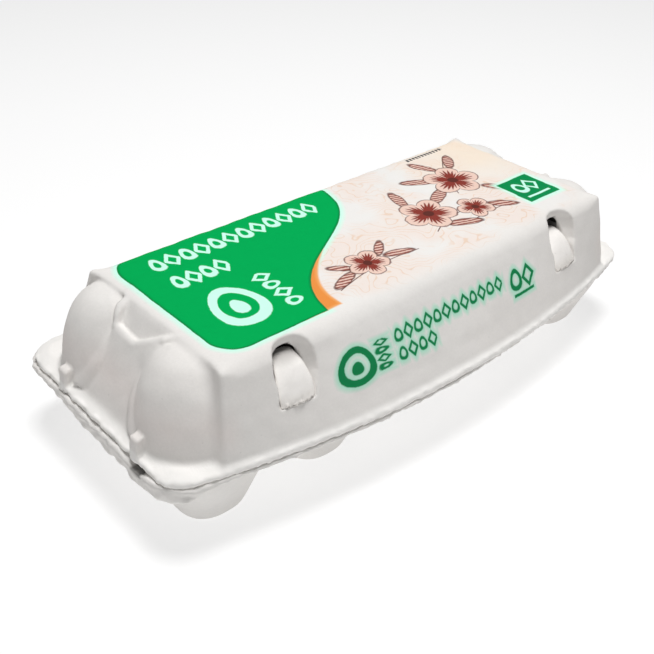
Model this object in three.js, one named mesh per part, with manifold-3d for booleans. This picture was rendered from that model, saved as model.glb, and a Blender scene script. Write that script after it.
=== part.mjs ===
// A shut ten-egg carton of moulded pulp: a printed lid over a tray of two rows of five cups.
// Millimetres, +Z up. X runs along the carton, the front with the two locking tabs faces -Y,
// and the feet of the cups stand on z = 0. The flange of the lid is centred on x = 0, y = 0.
import * as THREE from 'three';
import { mergeVertices } from 'three/addons/utils/BufferGeometryUtils.js';
import Module from 'manifold-3d';

// Overall sizes
const LENGTH = 248; // of the lid's flange
const FRONT_BULGE = 61; // from the middle line to the flange's edge at mid length, at the front
const FRONT_BOW = 11.3; // how far that edge has come back 100 mm along from the middle
const BACK_REACH = 59.4; // to the straight back edge
const HEIGHT = 66.8;
const GAP = 0.3; // between touching pieces

// Flanges: the lid's lies on the tray's
const FLANGE_THICKNESS = 2.2;
const LID_BOTTOM = 30.15;
const WALL_FOOT = 34; // where the walls and domes of the lid rise from its flange
const TRAY_TOP = LID_BOTTOM - GAP;
const TRAY_OVERHANG = 1.3; // the tray's flange shows round the lid's
const FRONT_OVERHANG = 0.3; // and less so along the front
const FRONT_CORNER = 9; // radius
const BACK_CORNER = 12;
const HINGE_INSET = 20; // the fold stops short of the flanges' ends
const HINGE_BULGE = 1.3;

// The lid's walls and its flat printed top
const TOP_HALF_LENGTH = 100.5;
const TOP_HALF_WIDTH = 42.1;
const END_FACE = 98.4; // the flat top ends here above the domes
const END_SPREAD = 4.5; // how much further out the walls' ends are at the foot than at the top
const FRONT_FOOT = 59; // front wall's foot at mid length
const FRONT_FOOT_BOW = 11.5; // how far it has come back at FRONT_FOOT_AT
const FRONT_FOOT_AT = 102;
const BACK_FOOT = 56.5;
const EDGE_ROUND = 3.2; // of the flat top's long edges
const END_ROUND = 1.3;

// Rows of cups and domes lie a little behind the middle, since the tabs need room at the front
const ROW_MIDDLE = 3.4;
const ROW_HALF_PITCH = 25.6;
const CUP_PITCH = 48.75;
const CUPS_PER_ROW = 5;
const ROWS = [ROW_MIDDLE - ROW_HALF_PITCH, ROW_MIDDLE + ROW_HALF_PITCH];

// Domes over the four corner eggs
const DOME_X = 99.4;
const DOME_RADIUS = 21.2;
const DOME_TOP = 65.4;

// Sloping panel between the domes of an end, with a step cut into its upper edge
const PANEL_TOP_X = 102.9;
const PANEL_FOOT_X = 120.2;
const PANEL_HALF_WIDTH = 23; // its sides run into the domes
const STEP_DROP = 8.4;
const STEP_DEPTH = 6; // run of the slope from the top down to the step
const BAND_FALL = 2; // how far its uncut upper edge lies under the flat top
const NICHE_TOP = 68; // the panel stops short of a dome that is drawn up to this height
// The step's floor from the front side to the back: y, and the depth under the top
const STEP_FLOOR = [[-12.5, 0.3], [-9.5, 2.4], [1.4, 8.7], [13.4, 8.2], [15.6, 0.3]];

// Locking tabs in hollows of the front wall
const TAB_X = 72.3;
// A tongue's levels from its torn lower edge up: height, half width, how far its middle lies behind
// the wall's face, and half its thickness
const TONGUE = [[44.6, 6.2, 0.6, 1.5], [46.5, 6.7, 0.9, 1.8], [50, 6.6, 2, 2.1], [54, 6.2, 3.2, 2.1],
  [58, 5.2, 4.3, 1.8], [60.5, 4, 5.1, 1.4], [61.8, 2.8, 5.7, 0.9]];
// The hollow's levels: height, half width and depth
const HOLLOW = [[43, 5, 1], [44.6, 7.2, 2.6], [48, 8, 4.2], [53, 8.6, 5.8], [58, 8.8, 6.8], [62, 8.3, 6.6],
  [65, 7.2, 5], [HEIGHT + 1, 5.8, 3.8]];
// The slot that a tongue comes out of: height, half width and depth
const SLOT = [[56, 5.8, 7.4], [59.5, 5.6, 9.4], [61, 5, 9.4], [62.4, 3.4, 9]];

// Cups
const FOOT_RADIUS = 13;
const CUP_SPREAD = 1; // the rows of cups stand this much further from their middle than the domes
const CUP_TOP_RADIUS = 24;

// The turned-down rim at the tray's ends
const LIP_BOTTOM = 24;
const LIP_DEPTH = 5;
const LIP_FRONT = -44; // where it begins and ends across the carton
const LIP_BACK = 26;

const wasm = await Module();
wasm.setup();

const span = (n) => Array.from({ length: n }, (_, i) => i / (n - 1));
const mix = (a, b, t) => a + (b - a) * t;

// A closed mesh through rings of equally many points, with a fan over its first and last ring
function loft(rings) {
  const n = rings[0].length;
  const points = rings.flat();
  const indices = [];
  for (let r = 0; r + 1 < rings.length; r++) {
    for (let i = 0; i < n; i++) {
      const a = r * n + i;
      const b = r * n + ((i + 1) % n);
      indices.push(a, b, b + n, a, b + n, a + n);
    }
  }
  for (const [ring, first, turned] of [[rings[0], 0, true], [rings.at(-1), (rings.length - 1) * n, false]]) {
    const middle = ring.reduce((sum, p) => sum.map((v, k) => v + p[k] / n), [0, 0, 0]);
    points.push(middle);
    const m = points.length - 1;
    for (let i = 0; i < n; i++) {
      const a = first + i;
      const b = first + ((i + 1) % n);
      if (turned) indices.push(b, a, m);
      else indices.push(a, b, m);
    }
  }
  const geometry = new THREE.BufferGeometry();
  geometry.setAttribute('position', new THREE.Float32BufferAttribute(points.flat(), 3));
  geometry.setIndex(indices);
  return mergeVertices(geometry, 1e-4);
}

function solid(geometry) {
  return new wasm.Manifold(new wasm.Mesh({
    numProp: 3,
    vertProperties: new Float32Array(geometry.attributes.position.array),
    triVerts: new Uint32Array(geometry.index.array),
  }));
}

function meshFrom(manifold, name, look) {
  const { vertProperties, triVerts, numProp } = manifold.getMesh();
  const positions = [];
  for (let i = 0; i < vertProperties.length; i += numProp) positions.push(...vertProperties.slice(i, i + 3));
  const geometry = new THREE.BufferGeometry();
  geometry.setAttribute('position', new THREE.Float32BufferAttribute(positions, 3));
  geometry.setIndex(Array.from(triVerts));
  geometry.computeVertexNormals();
  const mesh = new THREE.Mesh(geometry, new THREE.MeshStandardMaterial(look));
  mesh.name = name;
  return mesh;
}

const join = (parts) => parts.reduce((all, part) => all.add(part));

// Rings run anticlockwise seen from above, and lofts run upwards
const circle = (x, y, z, radius, n = 32) =>
  Array.from({ length: n }, (_, i) => {
    const turn = (2 * Math.PI * i) / n;
    return [x + radius * Math.cos(turn), y + radius * Math.sin(turn), z];
  });

// Outline of the flanges, grown outwards by `grow`: bowed front, straight back, rounded corners
function flangeOutline(z, grow) {
  const half = LENGTH / 2;
  const frontY = (x) => -(FRONT_BULGE - FRONT_BOW * (x / 100) ** 2) - Math.min(grow, FRONT_OVERHANG);
  const reach = half - FRONT_CORNER;
  const corner = (cx, cy, from, r) =>
    span(7).map((t) => {
      const turn = THREE.MathUtils.degToRad(mix(from, from + 90, t));
      return [cx + (r + grow) * Math.cos(turn), cy + (r + grow) * Math.sin(turn), z];
    });
  const frontCorner = frontY(reach) + grow + FRONT_CORNER - 0.6;
  const back = half - BACK_CORNER;
  return [
    ...span(27).map((t) => mix(-reach, reach, t)).slice(1, -1).map((x) => [x, frontY(x), z]),
    ...corner(reach, frontCorner, -90, FRONT_CORNER),
    ...corner(back, BACK_REACH - BACK_CORNER, 0, BACK_CORNER),
    ...corner(-back, BACK_REACH - BACK_CORNER, 90, BACK_CORNER),
    ...corner(-reach, frontCorner, 180, FRONT_CORNER),
  ];
}

// The front wall leans out and bulges towards the middle of its foot
function frontWall(x, z) {
  const t = (HEIGHT - z) / (HEIGHT - WALL_FOOT);
  const foot = FRONT_FOOT - FRONT_FOOT_BOW * Math.abs(x / FRONT_FOOT_AT) ** 2.2;
  return -mix(TOP_HALF_WIDTH, foot, t);
}

const backWall = (z) => mix(TOP_HALF_WIDTH, BACK_FOOT, (HEIGHT - z) / (HEIGHT - WALL_FOOT));

// Walls and flat top, without the ends' domes and panels
function lidBody() {
  const chamfer = 1.5;
  const ring = (z, inset) => {
    const spread = (END_SPREAD * (HEIGHT - z)) / (HEIGHT - WALL_FOOT) - Math.min(inset, END_ROUND);
    const along = TOP_HALF_LENGTH + spread - chamfer;
    const endX = (t) => mix(END_FACE, TOP_HALF_LENGTH, Math.abs(2 * t - 1) ** 6) + spread;
    const front = frontWall(TOP_HALF_LENGTH + spread, z) + inset + chamfer;
    const back = backWall(z) - inset - chamfer;
    return [
      ...span(25).map((t) => mix(-along, along, t)).map((x) => [x, frontWall(x, z) + inset, z]),
      ...span(13).map((t) => [endX(t), mix(front, back, t), z]),
      ...span(5).map((t) => [mix(along, -along, t), backWall(z) - inset, z]),
      ...span(13).map((t) => [-endX(t), mix(back, front, t), z]),
    ];
  };
  const levels = [LID_BOTTOM, WALL_FOOT, 45, 56, HEIGHT - EDGE_ROUND].map((z) => ring(z, 0));
  const rounded = [30, 60, 90].map((degrees) => {
    const turn = THREE.MathUtils.degToRad(degrees);
    return ring(HEIGHT - EDGE_ROUND * (1 - Math.sin(turn)), EDGE_ROUND * (1 - Math.cos(turn)));
  });
  return solid(loft([...levels, ...rounded]));
}

function lidFlange() {
  return solid(loft([
    flangeOutline(LID_BOTTOM, -0.4),
    flangeOutline(LID_BOTTOM + 0.5, 0),
    flangeOutline(LID_BOTTOM + FLANGE_THICKNESS - 0.5, 0),
    flangeOutline(LID_BOTTOM + FLANGE_THICKNESS, -0.5),
    flangeOutline(WALL_FOOT - 0.5, -4),
  ]));
}

// An egg-topped dome: steep at the foot, flattened at the crown
function domeRadius(z, top = DOME_TOP) {
  const t = Math.max(0, (z - WALL_FOOT) / (top - WALL_FOOT));
  return DOME_RADIUS * (1 - t ** 1.44) ** (1 / 3.02);
}

function dome(x, y) {
  const levels = [0, 0.15, 0.3, 0.45, 0.6, 0.72, 0.82, 0.9, 0.955, 0.985, 0.998];
  return solid(loft([
    circle(x, y, LID_BOTTOM + 0.2, DOME_RADIUS + 0.3, 36),
    ...levels.map((t) => mix(WALL_FOOT, DOME_TOP, t)).map((z) => circle(x, y, z, domeRadius(z), 36)),
  ]));
}

// The panel between two domes, as profiles in x and z from one dome's side to the other's
function endPanel(side) {
  const inside = TOP_HALF_LENGTH - 8;
  const panelX = (z) => mix(PANEL_FOOT_X, PANEL_TOP_X, (z - WALL_FOOT) / (HEIGHT - WALL_FOOT));
  const slopeX = (z) => END_FACE + (STEP_DEPTH * (HEIGHT - z)) / STEP_DROP;
  const [, shallow] = STEP_FLOOR[0];
  const profiles = [
    [ROW_MIDDLE - PANEL_HALF_WIDTH, shallow],
    ...STEP_FLOOR,
    [ROW_MIDDLE + PANEL_HALF_WIDTH, shallow],
  ].map(([y, drop]) => [
    [side * inside, y, LID_BOTTOM + 0.1],
    [side * PANEL_FOOT_X, y, LID_BOTTOM + 0.1],
    [side * PANEL_FOOT_X, y, WALL_FOOT],
    [side * panelX(HEIGHT - Math.max(drop, BAND_FALL)), y, HEIGHT - Math.max(drop, BAND_FALL)],
    [side * slopeX(HEIGHT - drop), y, HEIGHT - drop],
    [side * slopeX(HEIGHT - shallow / 2), y, HEIGHT - shallow / 2],
    [side * inside, y, HEIGHT - shallow / 2],
  ]);
  return solid(loft(side < 0 ? profiles : profiles.reverse()));
}

// Space round a dome's crown that the panel is kept out of
const crownSpace = (x, y) =>
  solid(loft([50, 54, 58, 61, 64, 66, 67].map((z) => circle(x, y, z, domeRadius(z, NICHE_TOP), 40))));

// A small block at a dome's foot
function footLug(x, y) {
  const out = Math.sign(x);
  const box = (z, reach, half) => {
    const corners = [[x - out * 4, y - half, z], [x + out * reach, y - half, z],
      [x + out * reach, y + half, z], [x - out * 4, y + half, z]];
    return out > 0 ? corners : corners.reverse();
  };
  return solid(loft([box(WALL_FOOT - 2, 3.2, 2.4), box(WALL_FOOT + 5, 2.6, 2.2), box(WALL_FOOT + 6, 1.6, 1.9)]));
}

// Upright half-round ring in front of the wall at height z, `half` wide and `depth` into it
function hollowRing(x0, z, half, depth) {
  return span(20).slice(0, -1).map((t) => {
    const turn = 2 * Math.PI * t;
    const into = Math.sin(turn) > 0 ? depth : 2.5;
    return [x0 + half * Math.cos(turn), frontWall(x0, z) + into * Math.sin(turn), z];
  });
}

// The hollow that a tab lies in, open through the edge of the top, and the slot it comes out of
function tabHollow(x0) {
  const [hollow, slot] = [HOLLOW, SLOT].map((levels) =>
    solid(loft(levels.map(([z, half, depth]) => hollowRing(x0, z, half, depth)))));
  return hollow.add(slot);
}

// A tab's tongue: thick and rounded outside, from the slot down to its torn lower edge
function lockTab(x0) {
  return solid(loft(TONGUE.map(([z, half, into, thick]) => {
    const y = frontWall(x0, z) + into;
    return Array.from({ length: 20 }, (_, i) => {
      const turn = (2 * Math.PI * i) / 20;
      return [x0 + half * Math.cos(turn), y + thick * Math.sin(turn), z];
    });
  })));
}

function lid() {
  let shell = lidBody();
  for (const side of [-1, 1]) {
    let panel = endPanel(side);
    for (const y of ROWS) panel = panel.subtract(crownSpace(side * DOME_X, y));
    shell = shell.add(panel);
  }
  shell = join([shell, lidFlange()]);
  for (const side of [-1, 1]) {
    for (const y of ROWS) shell = shell.add(dome(side * DOME_X, y));
    shell = shell.add(footLug(side * PANEL_FOOT_X, ROWS[0] + 0.5)).add(footLug(side * PANEL_FOOT_X, ROWS[1] - 0.8));
    shell = shell.subtract(tabHollow(side * TAB_X));
  }
  return shell;
}

function cup(x, y) {
  const levels = [[0, FOOT_RADIUS - 0.8], [0.6, FOOT_RADIUS], [2, FOOT_RADIUS + 0.7], [6, 15.4],
    [12, 17.8], [20, 21.1], [TRAY_TOP - 1, CUP_TOP_RADIUS]];
  return solid(loft(levels.map(([z, radius]) => circle(x, y, z, radius, 28))));
}

// Saddles that join the cups under the flange
function saddle() {
  const rectangle = (z, x, front, back) => [[-x, front, z], [x, front, z], [x, back, z], [-x, back, z]];
  const [near, far] = ROWS;
  const end = 2 * CUP_PITCH;
  return solid(loft([
    rectangle(13, end, near - 3, far + 3),
    rectangle(20, end + 8, near - 12, far + 12),
    rectangle(TRAY_TOP - 1, end + 16, near - 19, far + 19),
  ]));
}

// The tray's rim is turned down along both ends
function endLips() {
  const slab = solid(loft([
    flangeOutline(LIP_BOTTOM, TRAY_OVERHANG - 1),
    flangeOutline(LIP_BOTTOM + 1.5, TRAY_OVERHANG - 0.2),
    flangeOutline(TRAY_TOP - 1, TRAY_OVERHANG),
  ]));
  const reach = LENGTH / 2 + TRAY_OVERHANG;
  const boxes = [-1, 1].map((side) => {
    const [from, to] = side < 0 ? [-reach - 1, LIP_DEPTH - reach] : [reach - LIP_DEPTH, reach + 1];
    const rectangle = (z) => [[from, LIP_FRONT, z], [to, LIP_FRONT, z], [to, LIP_BACK, z], [from, LIP_BACK, z]];
    return solid(loft([rectangle(LIP_BOTTOM - 1), rectangle(TRAY_TOP)]));
  });
  return slab.intersect(join(boxes));
}

function tray() {
  const flange = solid(loft([
    flangeOutline(TRAY_TOP - FLANGE_THICKNESS, TRAY_OVERHANG - 0.6),
    flangeOutline(TRAY_TOP - FLANGE_THICKNESS + 0.5, TRAY_OVERHANG),
    flangeOutline(TRAY_TOP - 0.5, TRAY_OVERHANG),
    flangeOutline(TRAY_TOP, TRAY_OVERHANG - 0.5),
  ]));
  const places = ROWS.flatMap((y) =>
    Array.from({ length: CUPS_PER_ROW }, (_, i) =>
      [(i - (CUPS_PER_ROW - 1) / 2) * CUP_PITCH, y + CUP_SPREAD * Math.sign(y - ROW_MIDDLE)]));
  return join([flange, endLips(), saddle(), ...places.map(([x, y]) => cup(x, y))]);
}

// The fold that carries lid and tray along the back
function hinge() {
  const half = LENGTH / 2 - HINGE_INSET;
  const low = TRAY_TOP - FLANGE_THICKNESS;
  const high = LID_BOTTOM + FLANGE_THICKNESS;
  const reach = BACK_REACH + TRAY_OVERHANG + GAP;
  const profile = (x) => span(9).map((t) => {
    const turn = Math.PI * (t - 0.5);
    return [x, reach + HINGE_BULGE * Math.cos(turn), mix(low, high, 0.5 + Math.sin(turn) / 2)];
  });
  return solid(loft([profile(-half), profile(half)]));
}

const PULP = { color: 0xd6d1cc, roughness: 0.92, metalness: 0 };

const carton = new THREE.Group();
carton.name = 'egg_carton';
carton.add(meshFrom(lid(), 'lid', PULP));
carton.add(meshFrom(tray(), 'tray', PULP));
carton.add(meshFrom(hinge(), 'hinge', PULP));
carton.add(meshFrom(lockTab(-TAB_X), 'lock_tab_left', PULP));
carton.add(meshFrom(lockTab(TAB_X), 'lock_tab_right', PULP));

export default carton;
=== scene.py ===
"""Looks of a shut ten-egg carton of moulded pulp: a printed lid over a tray of cups, the fold along
the back and the two locking tabs in the front wall.

The script is laid out as an add-on: settings, one operator for each piece or pair and one for the
stage, and a panel. Shapes are distance fields in millimetres, negative inside, and are meshed in metres.
X runs along the carton, the front faces -Y and the cups stand on z = 0, as in the CAD frame.
"""

import math

import bpy
import numpy as np
from bpy.props import FloatProperty, FloatVectorProperty, PointerProperty
from mathutils import Matrix, Vector


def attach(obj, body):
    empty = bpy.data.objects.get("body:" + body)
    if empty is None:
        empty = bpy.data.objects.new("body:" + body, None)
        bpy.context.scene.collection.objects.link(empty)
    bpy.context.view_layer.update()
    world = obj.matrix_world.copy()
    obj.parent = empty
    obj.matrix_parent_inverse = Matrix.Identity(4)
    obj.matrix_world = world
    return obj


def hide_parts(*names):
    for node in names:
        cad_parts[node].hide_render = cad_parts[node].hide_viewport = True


bl_info = {
    "name": "Egg Carton",
    "version": (1, 0, 0),
    "blender": (4, 5, 0),
    "location": "View3D > Sidebar > Egg Carton",
    "description": "Makes a shut egg carton of moulded pulp and the stage around it",
    "category": "Object",
}

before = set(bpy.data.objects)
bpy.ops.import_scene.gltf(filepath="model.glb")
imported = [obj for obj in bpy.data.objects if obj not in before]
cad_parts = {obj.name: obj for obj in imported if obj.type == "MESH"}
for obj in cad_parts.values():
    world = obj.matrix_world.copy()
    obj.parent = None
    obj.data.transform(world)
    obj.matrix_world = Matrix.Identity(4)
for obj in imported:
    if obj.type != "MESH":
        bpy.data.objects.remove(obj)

MM = 0.001

# Heights: the two flanges, the foot of the lid's walls and its flat top
HEIGHT = 66.8
WALL_FOOT = 34.0
LID_BOTTOM = 30.15
LID_RIM_TOP = 32.35
TRAY_TOP = 29.85
TRAY_RIM_BOTTOM = 27.65

# The lid's walls and flat top
TOP_HALF_LENGTH = 100.5
TOP_HALF_WIDTH = 42.1
END_FACE = 98.4
END_SPREAD = 4.5
FRONT_FOOT = 59.0
FRONT_FOOT_BOW = 11.5
FRONT_FOOT_AT = 102.0
BACK_FOOT = 56.5

# Outline of the flanges
OUTLINE_HALF = 124.0
OUTLINE_FRONT = 61.0
OUTLINE_BOW = 11.3
OUTLINE_BACK = 59.4

# Rows of cups and domes
ROW_MIDDLE = 3.4
ROWS = (-22.2, 29.0)
CUP_PITCH = 48.75
CUP_SPREAD = 1.0
# A cup's half width at each height, and how far the walls between the cups reach at the ends and the sides
CUP_LEVELS = ((0, 13.0), (2.0, 13.7), (6.0, 15.4), (12.0, 17.8), (20.0, 21.1), (28.85, 24.0))
SADDLE_LEVELS = ((13, 97.5, 28.6), (20, 109.0, 37.6), (28.85, 120.5, 44.6))
SADDLE_FOOT = 13
DOME_X = 99.4
DOME_RADIUS = 21.2
DOME_TOP = 65.4
DOME_ROUND, DOME_RISE = 3.02, 1.44
NICHE_TOP = 68.0
PANEL_HALF = 23.0

# Panel between the domes of an end, and the floor of the step in it as (y, depth under the top)
PANEL_TOP_X = 102.9
PANEL_FOOT_X = 120.2
STEP_DROP = 8.4
STEP_DEPTH = 6.0
STEP_FLOOR = ((-12.5, 0.3), (-9.5, 2.4), (1.4, 8.7), (13.4, 8.2), (15.6, 0.3))

# The scoops that the tabs lie in, as (height, half width, depth), and the dark slots at their top
TAB_X = 72.3
HOLLOW_LEVELS = ((46.8, 3.0, 0.1), (48.3, 5.2, 1.0), (50.5, 7.0, 3.2), (54.0, 8.4, 5.6), (58.0, 8.8, 6.8),
                 (62.0, 8.3, 6.6), (65.0, 7.2, 5.0), (67.8, 5.8, 3.8))
SLOT_HALF, SLOT_MIDDLE, SLOT_RISE = 5.6, 58.0, 4.8
SLOT_FOOT, SLOT_DEPTH = 56.0, 13.0

# Tongues of the left and the right tab: lower end, upper end and how far the lower end is moved sideways
TONGUE_LOW = (46.3, 45.6)
TONGUE_HIGH = (60.2, 58.0)
TONGUE_LEAN = (1.9, 0.6)
TONGUE_GAP = 0.35


# Numbers
def mix(a, b, t):
    """a where t is 0 and b where it is 1."""
    return a + (b - a) * t


def ramp(value, start, end):
    """0 before start and 1 after end, with a smooth rise."""
    t = np.clip((value - start) / (end - start), 0, 1)
    return t * t * (3 - 2 * t)


def round_max(a, b, r):
    """What two fields share, with the edge between them rounded."""
    return np.minimum(-r, np.maximum(a, b)) + np.hypot(np.maximum(a + r, 0), np.maximum(b + r, 0))


def round_min(a, b, r):
    """Two fields joined, with a fillet between them."""
    return -round_max(-a, -b, r)


def ripple(points, wavelength, seed, waves=14):
    """Smooth random relief of about -1 to 1."""
    rng = np.random.default_rng(seed)
    total = np.zeros(len(points))
    for _ in range(waves):
        way = rng.normal(size=3)
        way *= 2 * math.pi / (wavelength * rng.uniform(0.7, 1.5) * np.linalg.norm(way))
        total += np.sin(points @ way + rng.uniform(0, 2 * math.pi))
    return total * math.sqrt(2 / waves) / 2


# Meshing
CORNERS = np.array([(i, j, k) for i in (0, 1) for j in (0, 1) for k in (0, 1)])
EDGES = [(a, b) for a in range(8) for b in range(a + 1, 8) if abs(CORNERS[a] - CORNERS[b]).sum() == 1]


def surface_net(field, low, high, step):
    """Points and quads of the surface where field(x, y, z) is 0, in millimetres."""
    axes = [np.arange(a - step, b + 2 * step, step) for a, b in zip(low, high)]
    values = field(*np.meshgrid(*axes, indexing="ij"))
    inside = values < 0
    size = np.array(values.shape)
    kinds = sum(inside[i : size[0] - 1 + i, j : size[1] - 1 + j, k : size[2] - 1 + k].astype(np.int8)
                for i, j, k in CORNERS)
    cells = np.argwhere((kinds > 0) & (kinds < 8))
    number = np.full(size - 1, -1)
    number[tuple(cells.T)] = np.arange(len(cells))

    corner_values = np.stack([values[tuple((cells + c).T)] for c in CORNERS], 1)
    total, count = np.zeros((len(cells), 3)), np.zeros(len(cells))
    for a, b in EDGES:
        va, vb = corner_values[:, a], corner_values[:, b]
        crossed = (va < 0) != (vb < 0)
        t = np.where(crossed, va / np.where(crossed, va - vb, 1), 0)
        total += np.where(crossed[:, None], CORNERS[a] + t[:, None] * (CORNERS[b] - CORNERS[a]), 0)
        count += crossed
    points = np.array([a[0] for a in axes]) + step * (cells + total / count[:, None])

    quads = []
    for axis in range(3):
        u, v = np.eye(3, dtype=int)[(axis + 1) % 3], np.eye(3, dtype=int)[(axis + 2) % 3]
        here = np.swapaxes(inside, 0, axis)
        changed = np.swapaxes(here[:-1] != here[1:], 0, axis)
        edges = np.argwhere(changed)
        quad = np.stack([number[tuple((edges - shift).T)] for shift in (u + v, v, 0 * u, u)], 1)
        leaving = inside[tuple(edges.T)]
        quads.append(np.where(leaving[:, None], quad, quad[:, ::-1]))
    return points, np.concatenate(quads)


def slope_of(field, points):
    """The field's values, its unit gradient and that gradient's length at the points."""
    e = 0.02
    value = field(*points.T)
    gradient = np.stack([field(*(points + e * way).T) - field(*(points - e * way).T)
                         for way in np.eye(3)], 1)
    length = np.linalg.norm(gradient, axis=1, keepdims=True) / (2 * e)
    return value, gradient / (2 * e) / np.maximum(length, 1e-6), length[:, 0]


def settle(field, points, step):
    """Points moved onto the surface, and the way out of it there."""
    for _ in range(3):
        value, out, length = slope_of(field, points)
        move = np.clip(value / np.maximum(length, 0.2), -0.5 * step, 0.5 * step)
        points = points - out * move[:, None]
    return points, slope_of(field, points)[1]


def mesh_object(name, points, quads):
    """A smooth mesh object from points in millimetres."""
    mesh = bpy.data.meshes.new(name)
    mesh.vertices.add(len(points))
    mesh.vertices.foreach_set("co", (points * MM).ravel())
    mesh.loops.add(quads.size)
    mesh.loops.foreach_set("vertex_index", quads.ravel().astype(np.int32))
    mesh.polygons.add(len(quads))
    mesh.polygons.foreach_set("loop_start", np.arange(0, quads.size, 4, dtype=np.int32))
    mesh.polygons.foreach_set("use_smooth", np.ones(len(quads), bool))
    mesh.update(calc_edges=True)
    mesh.validate()
    piece = bpy.data.objects.new(name, mesh)
    bpy.context.scene.collection.objects.link(piece)
    return piece


# Shapes of the lid
def front_wall(x, z):
    """How far the front wall stands in front of y = 0."""
    down = (HEIGHT - z) / (HEIGHT - WALL_FOOT)
    foot = FRONT_FOOT - FRONT_FOOT_BOW * (np.abs(x) / FRONT_FOOT_AT) ** 2.2
    return mix(TOP_HALF_WIDTH, foot, down)


def back_wall(z):
    """How far the back wall stands behind y = 0."""
    return mix(TOP_HALF_WIDTH, BACK_FOOT, (HEIGHT - z) / (HEIGHT - WALL_FOOT))


def outline(x, y, grow_front=0.0, grow=0.0):
    """Distance from the flanges' edge: bowed front, straight back, rounded corners."""
    front = -y - OUTLINE_FRONT + OUTLINE_BOW * (x / 100) ** 2 - grow_front
    front = front / np.hypot(1, 2 * OUTLINE_BOW * x / 1e4)
    end = np.abs(x) - OUTLINE_HALF - grow
    back = y - OUTLINE_BACK - grow
    return np.maximum(round_max(front, end, 9 + grow), round_max(back, end, 12 + grow))


def lid_body(x, y, z):
    """The leaning walls and the flat top, with the front wall's printed part a little raised."""
    raised = ramp(-np.abs(x), -53, -51.4) * ramp(z, 40, 45) * ramp(-z, -63, -59)
    ahead = front_wall(x, z) + 0.3 * raised
    behind = back_wall(z)
    sides = np.maximum((-y - ahead) * 0.89, (y - behind) * 0.92)
    across = np.clip((y + ahead) / (ahead + behind), 0, 1)
    down = np.clip((HEIGHT - z) / (HEIGHT - WALL_FOOT), 0, 1)
    end = np.abs(x) - mix(END_FACE, TOP_HALF_LENGTH, np.abs(2 * across - 1) ** 6) - END_SPREAD * down
    walls = round_max(sides, end, 1.6)
    edge = mix(1.3, 4.5, ramp(TOP_HALF_LENGTH - np.abs(x), 1, 8))
    return round_max(walls, z - HEIGHT, edge)


def dome_field(ax, y, z, row, top=DOME_TOP):
    """The dome over a corner egg, with steep sides and a rounded crown."""
    rho = np.hypot(ax - DOME_X, y - row) + 1e-6
    up = np.clip((z - WALL_FOOT) / (top - WALL_FOOT), 0, None)
    value = (rho / DOME_RADIUS) ** DOME_ROUND + up ** DOME_RISE - 1
    steep = np.hypot(DOME_ROUND * rho ** (DOME_ROUND - 1) / DOME_RADIUS ** DOME_ROUND,
                     DOME_RISE * up ** (DOME_RISE - 1) / (top - WALL_FOOT))
    return value / np.maximum(steep, 0.03)


def end_panel(ax, y, z):
    """The sloping panel of an end, with its step, and the panel's plane alone."""
    lean = (PANEL_FOOT_X - PANEL_TOP_X) / (HEIGHT - WALL_FOOT)
    plane = (ax - PANEL_TOP_X - lean * (HEIGHT - z)) / math.hypot(1, lean)
    ys, drops = np.array(STEP_FLOOR).T
    drop = np.interp(y, ys, drops)
    grade = (np.interp(y + 0.2, ys, drops) - np.interp(y - 0.2, ys, drops)) / 0.4
    floor = (z - HEIGHT + drop) / np.hypot(1, grade)
    back = (ax - END_FACE - STEP_DEPTH * (HEIGHT - z) / STEP_DROP) * 0.81
    stepped = round_max(plane, round_min(floor, back, 0.6), 0.8)
    panel = np.maximum(stepped, np.abs(y - ROW_MIDDLE) - PANEL_HALF)
    return round_max(panel, z - HEIGHT + 0.42 * np.maximum(ax - END_FACE, 0), 1.4), plane


# Raised rim along the step's front edge, from the far dome to its lowest corner and up to the flat top
STEP_RIM = ((105.5, 14.6, 58.4), (106.0, 1.6, 57.3), (102.0, -11.6, 64.2), (98.5, -14.2, 64.9))


def rod(x, y, z, start, end, radius):
    """A round-ended rod between two points."""
    start, way = np.array(start), np.subtract(end, start)
    offset = [x - start[0], y - start[1], z - start[2]]
    t = np.clip(sum(o * w for o, w in zip(offset, way)) / way.dot(way), 0, 1)
    return np.sqrt(sum((o - t * w) ** 2 for o, w in zip(offset, way))) - radius


def lug(ax, y, z, row):
    """A small block at a dome's foot."""
    reach = np.maximum(ax - 124.2 + 0.12 * (z - 32), 115 - ax)
    return round_max(round_max(reach, np.abs(y - row) - 2.3, 0.4), z - 40.6 + 0.2 * (ax - 118), 0.4)


def tab_hollow(ax, y, z):
    """The scoop in the front wall that a tab lies in."""
    zs, halves, depths = np.array(HOLLOW_LEVELS).T
    half, depth = np.interp(z, zs, halves), np.interp(z, zs, depths)
    into = y + front_wall(ax, z)
    across = (ax - TAB_X) / half
    inner = np.hypot(across, np.maximum(into, 0) / depth) - 1
    return np.maximum(inner * np.minimum(half, depth + 1), zs[0] - z)


def tab_slot(ax, y, z):
    """The dark slot at the top of the scoop, which the tab comes out of."""
    into = y + front_wall(ax, z)
    arch = np.hypot((ax - TAB_X) / SLOT_HALF, np.maximum(z - SLOT_MIDDLE, 0) / SLOT_RISE) - 1
    return np.maximum(arch * 4.4, np.maximum(into - SLOT_DEPTH, SLOT_FOOT - z))


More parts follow.
